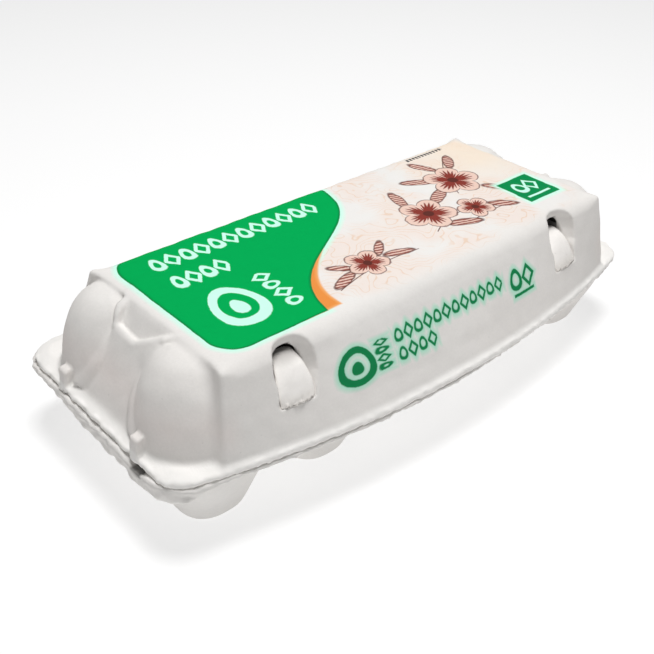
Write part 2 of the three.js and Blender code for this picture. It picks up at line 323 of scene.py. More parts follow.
def lid_field(x, y, z):
    """The whole lid: walls, end panels, domes with their ridges, flange, lugs and the tabs' scoops."""
    ax = np.abs(x)
    panel, plane = end_panel(ax, y, z)
    domes = [dome_field(ax, y, z, row) for row in ROWS]
    for row in ROWS:
        panel = round_max(panel, -dome_field(ax, y, z, row, top=NICHE_TOP), 1.0)
    shell = round_min(lid_body(x, y, z), panel, 0.8)
    # A thin ridge where a dome meets the panel stands out at the foot and sinks in towards the top
    between = np.maximum(np.abs(y - ROW_MIDDLE) - 21, 35 - z)
    sunk = 1.7 * ramp(z, 46, 60) - 0.7
    sharp = 0.9 + 2.4 * ramp(-y, 24, 34)
    soft = np.maximum(sharp, 0.9 + 2.2 * ramp(z, 48, 58))
    for dome, fillet in zip(domes, (soft, sharp)):
        shell = round_min(shell, dome, fillet)
        bead = np.maximum(np.hypot(dome + sunk, plane + sunk) - 1.0, between)
        shell = round_min(shell, bead, 0.7)
    for start, end in zip(STEP_RIM, STEP_RIM[1:]):
        shell = round_min(shell, rod(ax, y, z, start, end, 1.3), 0.9)
    rim = outline(x, y)
    rim_top = (z - LID_RIM_TOP - np.clip(-0.32 * (rim + 0.5), -1, 1.5)) * 0.95
    flange = round_max(np.maximum(rim_top, LID_BOTTOM - z), rim, 0.35)
    shell = round_min(shell, flange, 1.0 + 0.9 * ramp(ax, 90, 100))
    for row, shift in zip(ROWS, (0.5, -0.8)):
        shell = round_min(shell, lug(ax, y, z, row + shift), 0.5)
    hollow = round_min(tab_hollow(ax, y, z), tab_slot(ax, y, z), 0.3)
    low, high, lean = (np.where(x < 0, *pair) for pair in (TONGUE_LOW, TONGUE_HIGH, TONGUE_LEAN))
    tongue = tongue_field(x - np.copysign(TAB_X, x), y, z, np.copysign(1, x), low, high, lean, TONGUE_GAP)
    shell = round_max(shell, -round_min(hollow, tongue, 0.8), 0.5)
    return np.maximum(shell, LID_BOTTOM - z)


# Shapes of the tray, the fold and the tabs
def cup_field(x, y, z, place, row):
    """A cup that widens upwards, with a flat foot and a rounded square section."""
    radius = np.interp(z, *np.array(CUP_LEVELS).T)
    shifted = y - row - CUP_SPREAD * np.sign(row - ROW_MIDDLE)
    reach = (np.abs(x - place) ** 2.5 + np.abs(shifted) ** 2.5 + 1e-9) ** (1 / 2.5)
    wall = (reach - radius) * 0.9
    return round_max(wall, -z, 0.9)


def tray_field(x, y, z):
    """The tray: its flange with the turned-down ends, the ten cups and the walls between them."""
    rim = outline(x, y, 0.3 - 1.1 * ramp(x, -20, 40), 1.3 - 1.5 * ramp(x, 100, 118))
    bottom = TRAY_RIM_BOTTOM + 0.6 * ramp(-y, 20, 45)
    flange = round_max(np.maximum(z - TRAY_TOP, bottom - z), rim, 0.35)
    drop = 4.6 * ramp(np.abs(x), 103, 121.5) * ramp(-y, -44, -8) * np.where(x > 0, ramp(y, -42, -30), 1)
    wave = 0.3 * np.sin(0.35 * y) + 0.12 * np.sin(1.1 * y + 1)
    lip_bottom = bottom + 0.3 - drop + wave * ramp(np.abs(x), 101, 112)
    lip = round_max(np.maximum(z - TRAY_TOP, lip_bottom - z), np.maximum(rim, -rim - 4.6), 0.6)
    flange = round_min(flange, np.maximum(lip, 100 - np.abs(x)), 1.0)
    zs, ends, sides = np.array(SADDLE_LEVELS).T
    saddle_x = np.abs(x) - np.interp(z, zs, ends)
    saddle_y = np.abs(y - ROW_MIDDLE) - np.interp(z, zs, sides)
    shell = np.maximum(round_max(saddle_x * 0.75, saddle_y * 0.7, 6), SADDLE_FOOT - z)
    nearest = CUP_PITCH * np.clip(np.round(x / CUP_PITCH), -2, 2)
    for row in ROWS:
        shell = round_min(shell, cup_field(x, y, z, nearest, row), 2.5)
    shell = np.maximum(shell, z - TRAY_TOP + 1)
    return np.maximum(round_min(shell, flange, 2.0), -z)


def hinge_field(x, y, z):
    """The fold: a half round strip along the back of both flanges."""
    reach = OUTLINE_BACK + 1.6
    across = np.hypot((y - reach) / 1.3, (z - 30) / 2.35) - 1
    return np.maximum(round_max(across * 1.3, np.abs(x) - 104, 0.5), reach - y)


def tongue_field(x, y, z, side, low, high, lean, gap=0.0):
    """A tab's tongue between two heights, its lower end moved sideways; x is measured from its middle.

    With a gap it is the room that the lid leaves for the tongue, which is open to the front.
    """
    t = np.clip((z - low) / (high - low), 0, 1)
    half = 6.9 + 1.8 * t - 4.5 * t ** 2 + gap
    face = -0.7 + 3.8 * t ** 2 + 3.6 * t ** 6
    thick = 1.1 + 4 * t - 3.3 * t ** 2
    across = (x + lean * (1 - t) ** 1.5) / half
    into = y - face - thick + front_wall(TAB_X + side * x, z)
    if gap:
        into = np.maximum(into, 0)
    into = into / (thick + gap)
    reach = np.hypot(across, into)
    steep = np.hypot(across / half, into / (thick + gap)) / np.maximum(reach, 0.3)
    round_part = (reach - 1) / np.maximum(steep, 0.05)
    return round_max(round_part, np.maximum(low - gap - z, z - high), 0.5)


# Pulp and print
def linear(red, green, blue):
    """A colour given as 0 to 255 as it shows on screen."""
    return tuple((c / 255 / 12.92 if c <= 10 else ((c / 255 + 0.055) / 1.055) ** 2.4)
                 for c in (red, green, blue))


class Term:
    """A number or vector in a material, so that its maths reads as arithmetic."""

    def __init__(self, paint, socket):
        self.paint, self.socket = paint, socket
        self.is_vector = socket.type in ("VECTOR", "RGBA")

    def _with(self, operation, *others):
        if self.is_vector:
            return self.paint.add("ShaderNodeVectorMath", {"operation": operation}, *others)
        return self.paint.add("ShaderNodeMath", {"operation": operation}, *others)

    def __add__(self, other):
        return self._with("ADD", self, other)

    __radd__ = __add__

    def __sub__(self, other):
        return self._with("SUBTRACT", self, other)

    def __rsub__(self, other):
        return self._with("SUBTRACT", other, self)

    def __mul__(self, other):
        return self._with("MULTIPLY", self, other)

    __rmul__ = __mul__

    def __truediv__(self, other):
        return self._with("DIVIDE", self, other)

    def __rtruediv__(self, other):
        return self._with("DIVIDE", other, self)

    def __neg__(self):
        return self * -1.0

    def __abs__(self):
        return self._with("ABSOLUTE", self)

    def __mod__(self, other):
        return self._with("FLOORED_MODULO", self, other)

    def maths(self, operation, *others):
        """Any other operation of the maths nodes."""
        return self._with(operation, self, *others)


class Paint:
    """Builds the node tree of one material."""

    def __init__(self, name):
        self.material = bpy.data.materials.new(name)
        self.material.use_nodes = True
        self.tree = self.material.node_tree
        self.tree.nodes.clear()
        place = self.tree.nodes.new("ShaderNodeTexCoord").outputs["Object"]
        self.place = Term(self, place) * (1000.0, 1000.0, 1000.0)
        split = self.node("ShaderNodeSeparateXYZ", {}, self.place)
        self.x, self.y, self.z = (Term(self, split.outputs[i]) for i in range(3))

    def node(self, kind, settings, *values, **named):
        """A node with its settings made first, then its inputs by order or name."""
        node = self.tree.nodes.new(kind)
        for key, value in settings.items():
            setattr(node, key, value)
        for key, value in [*enumerate(values), *named.items()]:
            self.feed(node.inputs[key], value)
        return node

    def feed(self, socket, value):
        """Links a Term to a socket, or sets a plain value on it."""
        if isinstance(value, Term):
            self.tree.links.new(value.socket, socket)
        elif socket.type == "RGBA" and len(value) == 3:
            socket.default_value = (*value, 1.0)
        else:
            socket.default_value = value

    def add(self, kind, settings, *values, output=None, **named):
        """A node's output as a Term; for vector maths that give a number, the number."""
        node = self.node(kind, settings, *values, **named)
        if output is None:
            output = "Value" if settings.get("operation") in ("LENGTH", "DOT_PRODUCT", "DISTANCE") else 0
        return Term(self, node.outputs[output])

    def least(self, *terms):
        """The smallest of several terms: shapes joined."""
        result = terms[0]
        for term in terms[1:]:
            result = self.add("ShaderNodeMath", {"operation": "MINIMUM"}, result, term)
        return result

    def most(self, *terms):
        """The largest of several terms: what shapes share."""
        result = terms[0]
        for term in terms[1:]:
            result = self.add("ShaderNodeMath", {"operation": "MAXIMUM"}, result, term)
        return result

    def length(self, x, y):
        """Length of the vector (x, y)."""
        pair = self.add("ShaderNodeCombineXYZ", {}, x, y)
        return pair.maths("LENGTH")

    def blend(self, factor, low, high):
        """Colour low where factor is 0 and high where it is 1."""
        node = self.tree.nodes.new("ShaderNodeMix")
        node.data_type = "RGBA"
        for socket, value in zip((node.inputs[0], node.inputs[6], node.inputs[7]), (factor, low, high)):
            self.feed(socket, value)
        return Term(self, node.outputs[2])

    def cover(self, distance, soft=0.25):
        """1 inside a shape and 0 outside it, with a soft edge."""
        return self.add("ShaderNodeMath", {"operation": "MULTIPLY_ADD", "use_clamp": True},
                        distance, -1 / soft, 0.5)

    def noise(self, scale, detail=2.0, rough=0.5):
        """Noise of 0 to 1 whose grain is about 1 / scale millimetres."""
        return self.add("ShaderNodeTexNoise", {}, Vector=self.place, Scale=scale, Detail=detail,
                        Roughness=rough)

    def round_most(self, a, b, r):
        """What two shapes share, with the corner between them rounded."""
        return self.least(self.most(a, b), -r) + self.length(self.most(a + r, 0.0), self.most(b + r, 0.0))

    def ellipse(self, x, y, half_x, half_y):
        """Distance from an ellipse round the origin of x and y."""
        return (self.length(x / half_x, y / half_y) - 1.0) * min(half_x, half_y)

    def egg(self, x, y, half_x, half_y):
        """Distance from an egg that is narrower towards +y."""
        wide = x / half_x * (1.0 + y * (0.22 / half_y))
        return (self.length(wide, y / half_y) - 1.0) * min(half_x, half_y)

    def lozenge(self, x, y, half_x, half_y):
        """Distance from a lozenge round the origin of x and y."""
        size = half_x * half_y / math.hypot(half_x, half_y)
        return (abs(x) / half_x + abs(y) / half_y - 1.0) * size

    def bar(self, x, y, half_x, half_y):
        """Distance from a rectangle round the origin of x and y."""
        return self.most(abs(x) - half_x, abs(y) - half_y)


def pulp_base(paint, tone):
    """Colour of bare pulp: faint clouds and short fibres."""
    cloud = paint.noise(0.035, 3.0)
    grain = paint.noise(0.9, 3.0, 0.7)
    warm = paint.noise(0.012, 1.0)
    colour = paint.blend(warm, tuple(tone), tuple(c * f for c, f in zip(tone, (1.0, 0.975, 0.965))))
    shade = (cloud - 0.5) * 0.10 + (grain - 0.5) * 0.10 + 1.0
    specks = paint.cover(paint.noise(0.55, 2.0) - 0.24, 0.04)
    shade = shade - specks * 0.10
    return colour * paint.add("ShaderNodeCombineXYZ", {}, shade, shade, shade)


def pulp_bump(paint):
    """Normal of the pulp's felt-like surface."""
    rough = paint.noise(0.22, 5.0, 0.62) * 0.30 + paint.noise(1.6, 3.0, 0.6) * 0.05
    return paint.add("ShaderNodeBump", {}, Strength=0.55, Distance=MM, Height=rough, output="Normal")


def finish_paint(paint, colour, roughness=0.92, shine=0.2):
    """The matt pulp surface with a colour, as a finished material."""
    sockets = {"Base Color": colour, "Roughness": roughness, "Normal": pulp_bump(paint)}
    shader = paint.node("ShaderNodeBsdfPrincipled", {}, **sockets)
    shader.inputs["Specular IOR Level"].default_value = shine
    out = paint.tree.nodes.new("ShaderNodeOutputMaterial")
    paint.tree.links.new(shader.outputs[0], out.inputs[0])
    return paint.material


def pulp_material(name, tone):
    """Bare pulp."""
    paint = Paint(name)
    return finish_paint(paint, pulp_base(paint, tone))


def lid_pulp_material(name, tone):
    """Bare pulp, painted paler on the flange as painted light, faintly pink at the ends and painted near
    black inside the tabs' slots as painted shade.
    """
    paint = Paint(name)
    # Painted light: the flange is painted paler so that it reads as brightly lit as the flat top.
    painted_flange_light = paint.cover(paint.z - 34.2, 1.4)
    base = paint.blend(painted_flange_light * 0.85, pulp_base(paint, tone), tuple(1.155 * c for c in tone))
    # Painted shade: the tabs' slots are painted near black, where shade falls.
    ahead = paint.y + 37.6
    side = abs(abs(paint.x) - TAB_X) - 5.8
    # Known fault: without a limit towards +Y this also paints two squares of painted shade on the back
    # wall
    painted_slot_shade = paint.most(-ahead, side, 55.5 - paint.z, paint.z - 63.0)
    blush = paint.cover(98.0 - abs(paint.x), 6.0) * paint.cover(abs(paint.z - 45.0) - 6.0, 10.0)
    base = paint.blend(blush * paint.noise(0.05, 2.0), base, base * (1.02, 0.955, 0.945))
    return finish_paint(paint, paint.blend(paint.cover(painted_slot_shade, 0.8), base, (0.004, 0.0035, 0.003)))


def tray_material(name, tone):
    """Bare pulp, with painted shade inside the gap that gapes at the tray's left end."""
    paint = Paint(name)
    # Painted shade: the tray's top face inside the gap at the left end is painted near black.
    gap = paint.most(paint.x + 112.0, abs(paint.y + 24.3) - 2.8, 27.3 - paint.z)
    colour = paint.blend(paint.cover(gap, 1.8), pulp_base(paint, tone), (0.02, 0.018, 0.016))
    return finish_paint(paint, colour)


def tab_material(name, tone):
    """Pale pulp, its paleness painted light, with painted shade where a tongue goes into its slot and
    towards its lower, torn edge.
    """
    paint = Paint(name)
    base = pulp_base(paint, tone)
    # Painted shade: darker towards the top, where the tongue goes into the slot's shade.
    base = paint.blend(paint.cover(58.6 - paint.z, 3.0) * 0.6, base, base * (0.25, 0.24, 0.23))
    # Painted shade: darker towards the lower end, where the rounded tongue turns away from the light.
    base = paint.blend(paint.cover(paint.z - 48.4, 4.0) * 0.6, base, base * (0.84, 0.82, 0.79))
    return finish_paint(paint, base)


def marks(paint, along, across, start, pitch, count, half_x, half_y, stroke):
    """A band of alternate egg rings and lozenge rings, centred on across = 0."""
    inside = paint.bar(along - (start + pitch * count / 2), across, pitch * count / 2 - 0.3, half_y + 1)
    local = (along - start) % pitch - pitch / 2
    odd = ((along - start) / pitch).maths("FLOOR") % 2.0
    ring = abs(paint.egg(local, across, half_x - stroke / 2, half_y - stroke / 2)) - stroke / 2
    lozenge = abs(paint.lozenge(local, across, half_x, half_y)) - stroke / 2
    either = ring + (lozenge - ring) * odd
    return paint.most(either, inside)


def big_egg(paint, x, y, half_x, half_y, band, yolk):
    """A thick egg ring with a yolk, given as (how far it is above the middle, half width, half height)."""
    ring = abs(paint.egg(x, y, half_x, half_y) + band) - band
    rise, yolk_x, yolk_y = yolk
    return paint.least(ring, paint.egg(x, y - rise, yolk_x, yolk_y))


def pair_mark(paint, x, y, ring, lozenge, line):
    """An egg ring and a lozenge ring over a line; each is (x, y, half width, half height, half stroke)."""
    rx, ry, ring_x, ring_y, ring_half = ring
    lx, ly, lozenge_x, lozenge_y, lozenge_half = lozenge
    bx, by, line_x, line_y = line
    return paint.least(abs(paint.egg(x - rx, y - ry, ring_x, ring_y)) - ring_half,
                       abs(paint.lozenge(x - lx, y - ly, lozenge_x, lozenge_y)) - lozenge_half,
                       paint.bar(x - bx, y - by, line_x, line_y))


# Where the print lies on the top: the green panel's straight sides, the bands as (place across, start,
# pitch, count, half width, half height, stroke), the big egg's middle, the green tag and the row of dashes
PANEL_LEFT, PANEL_FRONT, PANEL_BACK = -93.8, -35.7, 43.2
WEDGE_BACK = -1.8
TOP_BANDS = ((28.9, -82.4, 6.75, 12, 2.75, 4.4, 1.5), (13.2, -82.6, 6.3, 4, 2.7, 4.3, 1.5))
TOP_COLUMN = (-54.5, -26.2, 6.6, 4, 2.7, 3.3, 1.35)
TOP_EGG_X, TOP_EGG_Y = -72.3, -12.8
TAG_X, TAG_Y, TAG_HALF_X, TAG_HALF_Y = 82.0, -17.3, 9.7, 10.0
DASH_START, DASH_PITCH = 60.5, 1.9
DASHES_X, DASHES_Y, DASHES_HALF_X, DASHES_HALF_Y = 72.2, 36.8, 11.6, 1.1

# The same on the front wall
FRONT_BANDS = ((53.6, -30.2, 5.0, 12, 2.05, 2.3, 0.95), (47.3, -30.2, 5.0, 4, 2.05, 2.3, 0.95))
FRONT_COLUMN = (-36.3, 44.6, 2.7, 4, 1.1, 2.6, 0.75)
FRONT_EGG_X, FRONT_EGG_Z = -48.6, 49.8


def green_panel(paint, x, y):
    """Distances from the green panel and from the orange wedge beside its curved edge."""
    bend = ((y - 0.5) / 20.0).maths("TANH")
    edge = bend * 32.0 - 19.5
    grade = (1.0 - bend * bend) * 1.6
    lean = 1.0 / paint.length(grade, 1.0)
    right = (x - edge) * lean
    near_left = paint.round_most(PANEL_LEFT - x, PANEL_FRONT - y, 11.0)
    far_left = paint.round_most(PANEL_LEFT - x, y - PANEL_BACK, 14.0)
    panel = paint.most(near_left, far_left, right)
    widening = paint.most((WEDGE_BACK - y) * 0.19, 0.0)
    wedge = paint.most(right - widening, PANEL_FRONT - y, y - WEDGE_BACK, -60.0 - x)
    return panel, wedge


def blossom(paint, x, y, radius, turn):
    """Distance from a five-petalled flower, and how deeply its petals are hatched."""
    around = paint.add("ShaderNodeMath", {"operation": "ARCTAN2"}, y, x)
    petal = abs((around * 2.5 + turn).maths("COSINE"))
    out = paint.length(x, y)
    rays = (around * 30.0 + turn).maths("SINE")
    edge = out - (petal.maths("POWER", 0.6) * (0.42 * radius) + 0.72 * radius)
    return edge, (edge / radius + 0.38 + rays * 0.14) * 3.0


def turned(x, y, middle_x, middle_y, turn):
    """x and y measured from a place and turned by an angle."""
    c, s = math.cos(turn), math.sin(turn)
    x, y = x - middle_x, y - middle_y
    return x * c + y * s, y * c - x * s


# Flowers as (x, y, radius, turn), leaves as (x, y, half length, half width, turn), stems as (x, y, x, y)
FAR_SPRIG = (
    ((62.0, 9.0, 11.5, 0.4), (30.0, -7.0, 11.0, 1.2), (50.0, -15.0, 7.5, 2.0)),
    ((45.5, 2.0, 8.0, 2.8, 0.5), (37.0, -21.5, 7.5, 2.6, -0.4), (72.0, -8.0, 6.5, 2.5, 2.2),
     (48.0, 17.0, 8.0, 2.6, 2.6), (75.0, 24.0, 7.0, 2.4, 0.9), (61.0, 27.0, 7.0, 2.3, 1.9),
     (29.0, 10.0, 7.5, 2.5, 1.3), (62.0, -20.0, 6.5, 2.2, -0.6)),
    ((22.0, -20.0, 44.0, -14.0), (36.0, -24.0, 66.0, -22.0), (54.0, -2.0, 78.0, 30.0)),
)
NEAR_SPRIG = (
    ((-17.0, -20.5, 8.0, 1.0),),
    ((-32.0, -24.5, 7.0, 2.3, 0.4), (-2.0, -22.0, 6.5, 2.1, -0.3), (-6.0, -15.0, 5.5, 1.8, 0.8),
     (-28.0, -17.0, 5.0, 1.7, 2.5)),
    ((-38.0, -29.0, 6.0, -25.0),),
)


def stem(paint, x, y, start_x, start_y, end_x, end_y):
    """Distance from a thin bowed stem between two points."""
    reach = math.dist((start_x, start_y), (end_x, end_y))
    turn = math.atan2(end_y - start_y, end_x - start_x)
    along, across = turned(x, y, (start_x + end_x) / 2, (start_y + end_y) / 2, turn)
    bow = across - (1.0 - (along / (reach / 2)) * (along / (reach / 2))) * (0.06 * reach)
    return paint.most(abs(bow) - 0.22, abs(along) - reach / 2)


def sprig(paint, x, y, colour, flowers, leaves, stems):
    """Flowers, leaves and stems in dark red and brown, like an engraving."""
    red, brown = linear(140, 62, 54), linear(98, 52, 46)
    pale = linear(236, 206, 192)
    hatch = (x * 1.1 + y * 3.4 + paint.noise(0.25) * 3.0).maths("SINE")
    fine = paint.noise(1.3, 2.0, 0.7)
    hatched = paint.cover(0.30 - hatch * 0.4 - fine * 0.7, 0.5)
    engraved_leaf = paint.blend(hatched, pale, linear(150, 84, 74))
    wobble = (paint.noise(0.5) - 0.5) * 1.2
    stalks = paint.least(*[stem(paint, x, y, *s) for s in stems])
    blades = paint.least(*[paint.ellipse(*turned(x, y, lx, ly, turn), long, wide)
                           for lx, ly, long, wide, turn in leaves]) + wobble * 0.5
    layers = [(stalks, brown, 0.0), (blades, engraved_leaf, 0.28)]
    for fx, fy, radius, turn in flowers:
        petals, depth = blossom(paint, x - fx, y - fy, radius, turn)
        engraved = paint.blend(paint.cover(depth + fine * 0.9 - 0.45, 0.4), pale, red)
        layers.append((petals + wobble, engraved, 0.3))
        layers.append((paint.length(x - fx, y - fy) - radius * 0.2 + wobble * 0.4, brown, 0.2))
    for shape, fill, rim in layers:
        colour = paint.blend(paint.cover(shape, 0.3), colour, fill)
        if rim:
            colour = paint.blend(paint.cover(abs(shape) - rim, 0.35) * 0.8, colour, brown)
    return colour


GREEN, DEEP_GREEN = linear(0, 170, 84), linear(10, 136, 70)
MINT = linear(205, 255, 236)


def left_print(name, tone, inks):
    """The printed half of the top with the green panel."""
    paint = Paint(name)
    x, y = paint.x, paint.y
    ragged = (paint.noise(0.8) - 0.5) * 0.35
    base = pulp_base(paint, tone)
    panel, wedge = green_panel(paint, x, y)
    colour = sprig(paint, x, y, right_ground(paint, x, y, base), *NEAR_SPRIG)
    colour = paint.blend(paint.cover(panel - 1.5, 2.4), colour, MINT)
    glow = paint.blend(paint.cover(wedge, 3.0), linear(250, 200, 140), linear(236, 148, 72))
    colour = paint.blend(paint.cover(wedge, 0.8), colour, glow)
    colour = paint.blend(paint.cover(panel + ragged * 0.5, 0.25), colour, DEEP_GREEN)
    colour = paint.blend(paint.cover(panel + 0.8, 0.7), colour, tuple(inks.green))
    bands = [marks(paint, x, y - place, *band) for place, *band in TOP_BANDS]
    column = marks(paint, y, x - TOP_COLUMN[0], *TOP_COLUMN[1:])
    big = big_egg(paint, x - TOP_EGG_X, y - TOP_EGG_Y, 10.0, 13.4, 1.7, (-1.2, 3.0, 4.8))
    shapes = paint.least(*bands, column, big) + ragged
    return finish_paint(paint, paint.blend(paint.cover(shapes, 0.3), colour, MINT), 0.85, 0.05)


def right_ground(paint, x, y, base):
    """Pale peach ground with faint wandering lines, which fades out before the edges."""
    wander = paint.noise(0.045, 2.0, 0.45)
    lines = abs((wander * 52.0 + x * 0.3 + y * 0.6).maths("SINE"))
    line = paint.cover(lines - 0.20 + (paint.noise(0.7) - 0.5) * 0.5, 0.24)
    patch = paint.cover(0.47 - paint.noise(0.03, 2.0), 0.12)
    edge = paint.round_most(abs(x - 20.0) - 76.0, abs(y - 4.0) - 38.0, 14.0)
    fade = paint.cover(edge - paint.noise(0.06) * 6.0, 6.0)
    ground = paint.blend(patch, linear(238, 236, 233), linear(240, 227, 219))
    ground = paint.blend(line * patch * 0.8, ground, linear(232, 200, 172))
    far_right = paint.cover(66.0 - x, 40.0) * paint.cover(2.0 - y, 30.0)
    ground = paint.blend(far_right * 0.8, ground, linear(248, 228, 204))
    return paint.blend(fade * 0.85, base, ground)


def right_print(name, tone, inks):
    """The printed half of the top with the flowers and the green tag."""
    paint = Paint(name)
    x, y = paint.x, paint.y
    colour = right_ground(paint, x, y, pulp_base(paint, tone))
    colour = sprig(paint, x, y, colour, *FAR_SPRIG)
    panel, _ = green_panel(paint, x, y)
    colour = paint.blend(paint.cover(panel - 1.5, 2.4), colour, MINT)
    colour = paint.blend(paint.cover(panel, 0.3), colour, tuple(inks.green))
    tag = paint.bar(x - TAG_X, y - TAG_Y, TAG_HALF_X, TAG_HALF_Y)
    colour = paint.blend(paint.cover(tag - 1.5, 2.6), colour, MINT)
    colour = paint.blend(paint.cover(tag, 0.3), colour, linear(14, 140, 78))
    mark = pair_mark(paint, x, y, (78.6, -15.5, 2.4, 3.6, 0.7), (85.4, -15.5, 3.2, 4.2, 0.6),
                     (82.0, -23.6, 7.0, 0.7))
    colour = paint.blend(paint.cover(mark, 0.3), colour, MINT)
    dashes = paint.most(abs((x - DASH_START) % DASH_PITCH - DASH_PITCH / 2) - 0.6,
                        paint.bar(x - DASHES_X, y - DASHES_Y, DASHES_HALF_X, DASHES_HALF_Y))
    dashes = dashes + (paint.noise(1.2) - 0.5) * 0.7
    colour = paint.blend(paint.cover(dashes, 0.4), colour, linear(60, 58, 60))
    return finish_paint(paint, colour, 0.85, 0.05)


def front_print(name, tone, inks):
    """The front wall between the tabs, with its dark green marks."""
    paint = Paint(name)
    x, z = paint.x, paint.z
    ragged = (paint.noise(0.8) - 0.5) * 0.35
    bands = [marks(paint, x, z - place, *band) for place, *band in FRONT_BANDS]
    column = marks(paint, z, x - FRONT_COLUMN[0], *FRONT_COLUMN[1:])
    big = big_egg(paint, x - FRONT_EGG_X, z - FRONT_EGG_Z, 8.2, 6.6, 1.15, (-0.6, 2.6, 2.2))
    badge = pair_mark(paint, x, z, (37.6, 51.8, 2.7, 3.2, 0.75), (45.2, 51.4, 3.2, 3.6, 0.65),
                      (41.3, 46.1, 6.4, 0.55))
    shapes = paint.least(*bands, column, big, badge)
    halo = paint.cover(shapes - 1.0, 1.9)
    colour = paint.blend(halo * 0.85, pulp_base(paint, tone), linear(160, 232, 202))
    colour = paint.blend(paint.cover(shapes + ragged, 0.3), colour, tuple(inks.front_green))
    return finish_paint(paint, colour, 0.88)


# Where the left and the right print of the top meet
PRINT_SEAM = 14


def lid_materials(piece, tone, inks):
    """Gives each region of the lid its own material."""
    mesh = piece.data
    mesh.materials.append(lid_pulp_material("pulp_lid", tone))
    mesh.materials.append(left_print("print_top_left", tone, inks))
    mesh.materials.append(right_print("print_top_right", tone, inks))
    mesh.materials.append(front_print("print_front", tone, inks))
    middles = np.zeros(len(mesh.polygons) * 3)
    mesh.polygons.foreach_get("center", middles)
    x, y, z = middles.reshape(-1, 3).T / MM
    normals = np.zeros(len(mesh.polygons) * 3)
    mesh.polygons.foreach_get("normal", normals)
    up = normals.reshape(-1, 3)[:, 2]
    slot = np.zeros(len(x), np.int32)
    top = (z > 64) & (up > 0.3) & (np.abs(x) < 98)
    slot[top & (x < PRINT_SEAM)] = 1
    slot[top & (x >= PRINT_SEAM)] = 2
    slot[(np.abs(x) < 60) & (y < -30) & (z > 38) & (z < 62)] = 3
    mesh.polygons.foreach_set("material_index", slot)


# Settings
def length_setting(name, description, default):
    return FloatProperty(name=name, description=description, default=default, unit="LENGTH", min=0.0)


def colour_setting(name, description, rgb):
    return FloatVectorProperty(name=name, description=description, default=rgb, subtype="COLOR", size=3,
                               min=0.0, max=1.0)


class CartonSizes(bpy.types.PropertyGroup):
    """Fineness of the pulp and of its meshes."""
    lid_step: length_setting("Lid step", "Spacing of the grid that the lid is meshed on", 0.0008)
    tray_step: length_setting("Tray step", "Spacing of the grid that the tray is meshed on", 0.001)
    tab_step: length_setting("Tab step", "Spacing of the grid that a tab is meshed on", 0.0004)
    relief: length_setting("Relief", "Height of the pulp's soft unevenness", 0.00012)
    torn: length_setting("Torn edge", "How far the flanges' edges wander in and out", 0.00022)


class CartonColours(bpy.types.PropertyGroup):
    """Pulp and inks."""
    pulp: colour_setting("Pulp", "Bare pulp", (0.835, 0.82, 0.795))
    green: colour_setting("Green", "Panel on the top", GREEN)
    front_green: colour_setting("Front green", "Marks on the front wall", linear(12, 132, 76))


# Operators
# Millimetres from crest to crest of the pulp's soft unevenness
RELIEF_WAVE = 9


def stand_for(piece, node):
    """Hides the CAD node that a visible piece replaces and hangs the piece on the body root; the carton is
    one body of one stuff.
    """
    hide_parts(node)
    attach(piece, "root")


class CARTON_OT_lid(bpy.types.Operator):
    """Makes the lid with its printed top and front"""
    bl_idname = "carton.lid"
    bl_label = "Lid"

    def execute(self, context):
        sizes, colours = context.scene.carton_sizes, context.scene.carton_colours
        step = sizes.lid_step / MM
        points, quads = surface_net(lid_field, (-126, -63, 29.5), (126, 61.5, 67.5), step)
        points, out = settle(lid_field, points, step)
        rim = ramp(outline(points[:, 0], points[:, 1]), -2.5, -0.4) * ramp(-points[:, 2], -33.5, -32)
        torn = sizes.torn / MM * rim * (1 + 0.8 * ramp(np.abs(points[:, 0]), 112, 120))
        move = sizes.relief / MM * ripple(points, RELIEF_WAVE, 11) + torn * ripple(points, 3.2, 12)
        piece = mesh_object("carton_lid", points + out * move[:, None], quads)
        lid_materials(piece, colours.pulp, colours)
        stand_for(piece, "lid")
        return {"FINISHED"}


class CARTON_OT_tray(bpy.types.Operator):
    """Makes the tray of ten cups"""
    bl_idname = "carton.tray"
    bl_label = "Tray"

    def execute(self, context):
        sizes, colours = context.scene.carton_sizes, context.scene.carton_colours
        step = sizes.tray_step / MM
        points, quads = surface_net(tray_field, (-127, -64, -0.5), (127, 63, 30.5), step)
        points, out = settle(tray_field, points, step)
        edge = outline(points[:, 0], points[:, 1], 0.3, 1.3)
        rim = ramp(edge, -3, -0.4)
        end = ramp(-points[:, 0], 110, 121)
        gap = 2.5 * end * ramp(edge, -11, -2) * np.exp(-((points[:, 1] + 24) / 5.5) ** 4)
        sag = rim * (0.04 + 0.16 * end + (0.12 + 0.3 * end) * ripple(points, 14, 23)) + gap
        move = sizes.relief / MM * ripple(points, RELIEF_WAVE, 21)
        move += sizes.torn / MM * 1.4 * rim * ripple(points, 3.4, 22)
        move *= ramp(points[:, 2], 0.4, 2)
        points = points + out * move[:, None]
        points[:, 2] -= np.clip(sag, 0, 3.2) * ramp(points[:, 2], 20, 27)
        piece = mesh_object("carton_tray", points, quads)
        piece.data.materials.append(tray_material("pulp_tray", colours.pulp))
        stand_for(piece, "tray")
        return {"FINISHED"}


class CARTON_OT_hinge(bpy.types.Operator):
    """Makes the fold along the back"""
    bl_idname = "carton.hinge"
    bl_label = "Hinge"

    def execute(self, context):
        sizes, colours = context.scene.carton_sizes, context.scene.carton_colours
        points, quads = surface_net(hinge_field, (-105, 60, 27), (105, 63, 33), 0.6)
        points, out = settle(hinge_field, points, 0.6)
        points = points + out * (sizes.relief / MM * ripple(points, 6, 31))[:, None]
        piece = mesh_object("carton_hinge", points, quads)
        piece.data.materials.append(pulp_material("pulp_hinge", colours.pulp))
        stand_for(piece, "hinge")
        return {"FINISHED"}


